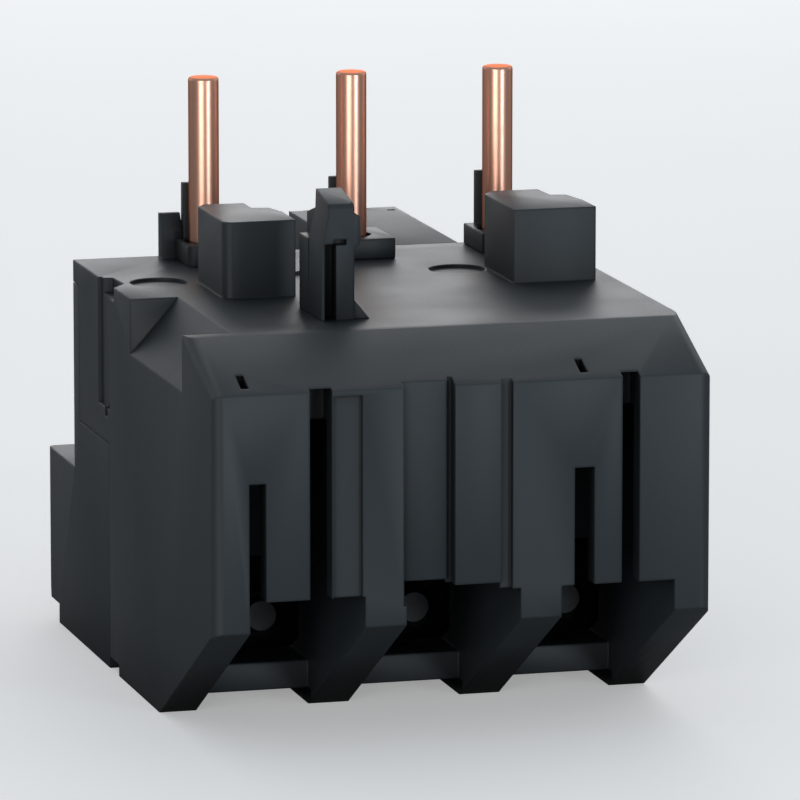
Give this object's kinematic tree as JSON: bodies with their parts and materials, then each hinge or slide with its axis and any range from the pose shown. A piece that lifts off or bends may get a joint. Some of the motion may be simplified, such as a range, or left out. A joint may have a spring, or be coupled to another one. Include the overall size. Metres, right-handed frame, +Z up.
{
  "type": "thermal overload relay",
  "caption": "Plug-in thermal overload relay: moulded block with copper contactor pins, mounting hook, rear cable cells, setting dial, reset and stop buttons under a clear cover.",
  "frame": {"origin": "centre of the outer size, at the level of the feet", "axes": "+Z up along the contactor pins, +Y towards the ribbed rear wall, -Y towards the dial and buttons, +X to the right of someone facing the dial"},
  "size_m": [0.045, 0.075, 0.0526],
  "materials": {
    "housing_moulding": "fine-textured moulded thermoset",
    "front_moulding": "fine-textured moulding",
    "hook_moulding": "satin moulding",
    "guide_moulding": "satin moulding",
    "pin_copper": "drawn copper, bright",
    "conductor_copper": "stamped copper",
    "heater_alloy": "resistance wire",
    "bimetal": "rolled strip",
    "contact_brass": "rolled spring strip",
    "zinc_steel": "zinc plated",
    "mechanism_moulding": "natural moulding",
    "clear_cover": "clear moulding",
    "dial_moulding": "satin moulding",
    "reset_blue": "semi gloss moulding",
    "stop_red": "semi gloss moulding",
    "test_moulding": "satin moulding",
    "flag_orange": "satin moulding"
  },
  "bodies": {
    "housing": {"closed_blade_strap": "conductor_copper", "closed_fixed_strap": "conductor_copper", "control_cover": "front_moulding", "front_housing": "front_moulding", "heater_1": "heater_alloy", "heater_2": "heater_alloy", "heater_3": "heater_alloy", "inlet_strap_1": "conductor_copper", "inlet_strap_2": "conductor_copper", "inlet_strap_3": "conductor_copper", "lever_pin": "zinc_steel", "main_housing": "housing_moulding", "mechanism_frame": "guide_moulding", "mounting_hook": "hook_moulding", "open_blade_strap": "conductor_copper", "open_fixed_strap": "conductor_copper", "outlet_strap_1": "conductor_copper", "outlet_strap_2": "conductor_copper", "outlet_strap_3": "conductor_copper", "pin_1": "pin_copper", "pin_2": "pin_copper", "pin_3": "pin_copper", "pin_guide_1": "guide_moulding", "pin_guide_2": "guide_moulding", "pin_guide_3": "guide_moulding", "rocker_pin": "zinc_steel"},
    "cover": {"sealing_cover": "clear_cover"},
    "dial": {"dial": "dial_moulding"},
    "adjusting_lever": {"adjusting_lever": "mechanism_moulding"},
    "reset_plunger": {"reset_plunger": "mechanism_moulding", "reset_spring": "zinc_steel"},
    "reset_button": {"reset_button": "reset_blue"},
    "stop_button": {"stop_button": "stop_red", "stop_spring": "zinc_steel"},
    "test_button": {"test_button": "test_moulding"},
    "trip_flag": {"trip_flag": "flag_orange"},
    "trip_bar": {"trip_bar": "mechanism_moulding"},
    "differential_bar": {"differential_bar": "mechanism_moulding"},
    "trip_lever": {"trip_lever": "mechanism_moulding", "compensator": "bimetal"},
    "contact_rocker": {"contact_rocker": "mechanism_moulding"},
    "closed_contact_blade": {"closed_contact_blade": "contact_brass"},
    "open_contact_blade": {"open_contact_blade": "contact_brass"},
    "bimetal_1": {"bimetal_1": "bimetal"},
    "terminal_clamp_1": {"terminal_clamp_1": "zinc_steel"},
    "terminal_screw_1": {"terminal_screw_1": "zinc_steel"},
    "bimetal_2": {"bimetal_2": "bimetal"},
    "terminal_clamp_2": {"terminal_clamp_2": "zinc_steel"},
    "terminal_screw_2": {"terminal_screw_2": "zinc_steel"},
    "bimetal_3": {"bimetal_3": "bimetal"},
    "terminal_clamp_3": {"terminal_clamp_3": "zinc_steel"},
    "terminal_screw_3": {"terminal_screw_3": "zinc_steel"},
    "aux_washer_1": {"aux_washer_1": "zinc_steel"},
    "aux_screw_1": {"aux_screw_1": "zinc_steel"},
    "aux_washer_2": {"aux_washer_2": "zinc_steel"},
    "aux_screw_2": {"aux_screw_2": "zinc_steel"},
    "aux_washer_3": {"aux_washer_3": "zinc_steel"},
    "aux_screw_3": {"aux_screw_3": "zinc_steel"},
    "aux_washer_4": {"aux_washer_4": "zinc_steel"},
    "aux_screw_4": {"aux_screw_4": "zinc_steel"}
  },
  "joints": [
    {"name": "cover_hinge", "type": "hinge", "parent": "housing", "child": "cover", "pos_m": [0, -0.0365, 0.0288], "axis": [-1, 0, 0], "range_deg": [0, 90]},
    {"name": "dial_turn", "type": "hinge", "parent": "housing", "child": "dial", "pos_m": [-0.0076, -0.0345, 0.0246], "axis": [0, 1, 0], "range_deg": [-135, 135]},
    {"name": "adjusting_lever_turn", "type": "hinge", "parent": "housing", "child": "adjusting_lever", "pos_m": [-0.0006, -0.03, 0.0192], "axis": [0, 1, 0], "range_deg": [-6, 6]},
    {"name": "reset_press", "type": "slide", "parent": "housing", "child": "reset_plunger", "axis": [0, 1, 0], "range_m": [0, 0.002], "stiffness_N_per_m": 400, "springref_m": -0.001},
    {"name": "reset_turn", "type": "hinge", "parent": "reset_plunger", "child": "reset_button", "pos_m": [0.0022, -0.0335, 0.0252], "axis": [0, 1, 0], "range_deg": [0, 90]},
    {"name": "stop_press", "type": "slide", "parent": "housing", "child": "stop_button", "axis": [0, 1, 0], "range_m": [0, 0.0018], "stiffness_N_per_m": 400, "springref_m": -0.001},
    {"name": "test_press", "type": "slide", "parent": "housing", "child": "test_button", "axis": [0, 1, 0], "range_m": [0, 0.0015]},
    {"name": "trip_bar_slide", "type": "slide", "parent": "housing", "child": "trip_bar", "axis": [1, 0, 0], "range_m": [0, 0.0012]},
    {"name": "differential_bar_slide", "type": "slide", "parent": "housing", "child": "differential_bar", "axis": [1, 0, 0], "range_m": [0, 0.0012]},
    {"name": "trip_lever_turn", "type": "hinge", "parent": "housing", "child": "trip_lever", "pos_m": [0.0055, -0.0075, 0.028], "axis": [0, 0, 1], "range_deg": [-9.6, 0]},
    {"name": "contact_rocker_turn", "type": "hinge", "parent": "housing", "child": "contact_rocker", "pos_m": [0, -0.02, 0.021], "axis": [0, 0, 1], "range_deg": [0, 11.9]},
    {"name": "closed_blade_flex", "type": "hinge", "parent": "housing", "child": "closed_contact_blade", "pos_m": [0.0113, -0.0197, 0.021], "axis": [0, 0, 1], "range_deg": [-9.2, 0]},
    {"name": "open_blade_flex", "type": "hinge", "parent": "housing", "child": "open_contact_blade", "pos_m": [-0.0113, -0.0197, 0.021], "axis": [0, 0, 1], "range_deg": [-9.2, 0]},
    {"name": "trip_flag_slide", "type": "slide", "parent": "housing", "child": "trip_flag", "axis": [1, 0, 0], "range_m": [0, 0.0016]},
    {"name": "bimetal_1_bend", "type": "hinge", "parent": "housing", "child": "bimetal_1", "pos_m": [0.014, 0.0045, 0.018], "axis": [0, 1, 0], "range_deg": [0, 6.5]},
    {"name": "bimetal_2_bend", "type": "hinge", "parent": "housing", "child": "bimetal_2", "pos_m": [0, 0.0045, 0.018], "axis": [0, 1, 0], "range_deg": [0, 6.5]},
    {"name": "bimetal_3_bend", "type": "hinge", "parent": "housing", "child": "bimetal_3", "pos_m": [-0.014, 0.0045, 0.018], "axis": [0, 1, 0], "range_deg": [0, 6.5]},
    {"name": "terminal_clamp_1_slide", "type": "slide", "parent": "housing", "child": "terminal_clamp_1", "axis": [0, 1, 0], "range_m": [0, 0.005]},
    {"name": "terminal_screw_1_turn", "type": "hinge", "parent": "housing", "child": "terminal_screw_1", "pos_m": [0.014, 0.0125, 0.009], "axis": [0, -1, 0], "range_deg": [0, 2575]},
    {"name": "terminal_clamp_2_slide", "type": "slide", "parent": "housing", "child": "terminal_clamp_2", "axis": [0, 1, 0], "range_m": [0, 0.005]},
    {"name": "terminal_screw_2_turn", "type": "hinge", "parent": "housing", "child": "terminal_screw_2", "pos_m": [0, 0.0125, 0.009], "axis": [0, -1, 0], "range_deg": [0, 2575]},
    {"name": "terminal_clamp_3_slide", "type": "slide", "parent": "housing", "child": "terminal_clamp_3", "axis": [0, 1, 0], "range_m": [0, 0.005]},
    {"name": "terminal_screw_3_turn", "type": "hinge", "parent": "housing", "child": "terminal_screw_3", "pos_m": [-0.014, 0.0125, 0.009], "axis": [0, -1, 0], "range_deg": [0, 2575]},
    {"name": "aux_washer_1_slide", "type": "slide", "parent": "housing", "child": "aux_washer_1", "axis": [0, -1, 0], "range_m": [0, 0.002]},
    {"name": "aux_screw_1_turn", "type": "hinge", "parent": "aux_washer_1", "child": "aux_screw_1", "pos_m": [0.01765, -0.0115, 0.0204], "axis": [0, -1, 0], "range_deg": [0, 1442]},
    {"name": "aux_washer_2_slide", "type": "slide", "parent": "housing", "child": "aux_washer_2", "axis": [0, -1, 0], "range_m": [0, 0.002]},
    {"name": "aux_screw_2_turn", "type": "hinge", "parent": "aux_washer_2", "child": "aux_screw_2", "pos_m": [0.01765, -0.0115, 0.0276], "axis": [0, -1, 0], "range_deg": [0, 1442]},
    {"name": "aux_washer_3_slide", "type": "slide", "parent": "housing", "child": "aux_washer_3", "axis": [0, -1, 0], "range_m": [0, 0.002]},
    {"name": "aux_screw_3_turn", "type": "hinge", "parent": "aux_washer_3", "child": "aux_screw_3", "pos_m": [-0.01765, -0.0115, 0.0204], "axis": [0, -1, 0], "range_deg": [0, 1442]},
    {"name": "aux_washer_4_slide", "type": "slide", "parent": "housing", "child": "aux_washer_4", "axis": [0, -1, 0], "range_m": [0, 0.002]},
    {"name": "aux_screw_4_turn", "type": "hinge", "parent": "aux_washer_4", "child": "aux_screw_4", "pos_m": [-0.01765, -0.0115, 0.0276], "axis": [0, -1, 0], "range_deg": [0, 1442]}
  ],
  "couplings": [
    {"joint": "adjusting_lever_turn", "follows": "dial_turn", "ratio": 0.0409},
    {"joint": "differential_bar_slide", "follows": "trip_bar_slide", "ratio": 1},
    {"joint": "trip_lever_turn", "follows": "trip_bar_slide", "rad_per_m": -136.99},
    {"joint": "contact_rocker_turn", "follows": "trip_bar_slide", "rad_per_m": 170},
    {"joint": "closed_blade_flex", "follows": "trip_bar_slide", "rad_per_m": -129},
    {"joint": "open_blade_flex", "follows": "trip_bar_slide", "rad_per_m": -129},
    {"joint": "trip_flag_slide", "follows": "trip_bar_slide", "ratio": 1.333},
    {"joint": "bimetal_1_bend", "follows": "trip_bar_slide", "rad_per_m": 92.6},
    {"joint": "bimetal_2_bend", "follows": "trip_bar_slide", "rad_per_m": 92.6},
    {"joint": "bimetal_3_bend", "follows": "trip_bar_slide", "rad_per_m": 92.6},
    {"joint": "terminal_screw_1_turn", "follows": "terminal_clamp_1_slide", "rad_per_m": 8976},
    {"joint": "terminal_screw_2_turn", "follows": "terminal_clamp_2_slide", "rad_per_m": 8976},
    {"joint": "terminal_screw_3_turn", "follows": "terminal_clamp_3_slide", "rad_per_m": 8976},
    {"joint": "aux_screw_1_turn", "follows": "aux_washer_1_slide", "rad_per_m": 12566},
    {"joint": "aux_screw_2_turn", "follows": "aux_washer_2_slide", "rad_per_m": 12566},
    {"joint": "aux_screw_3_turn", "follows": "aux_washer_3_slide", "rad_per_m": 12566},
    {"joint": "aux_screw_4_turn", "follows": "aux_washer_4_slide", "rad_per_m": 12566}
  ]
}
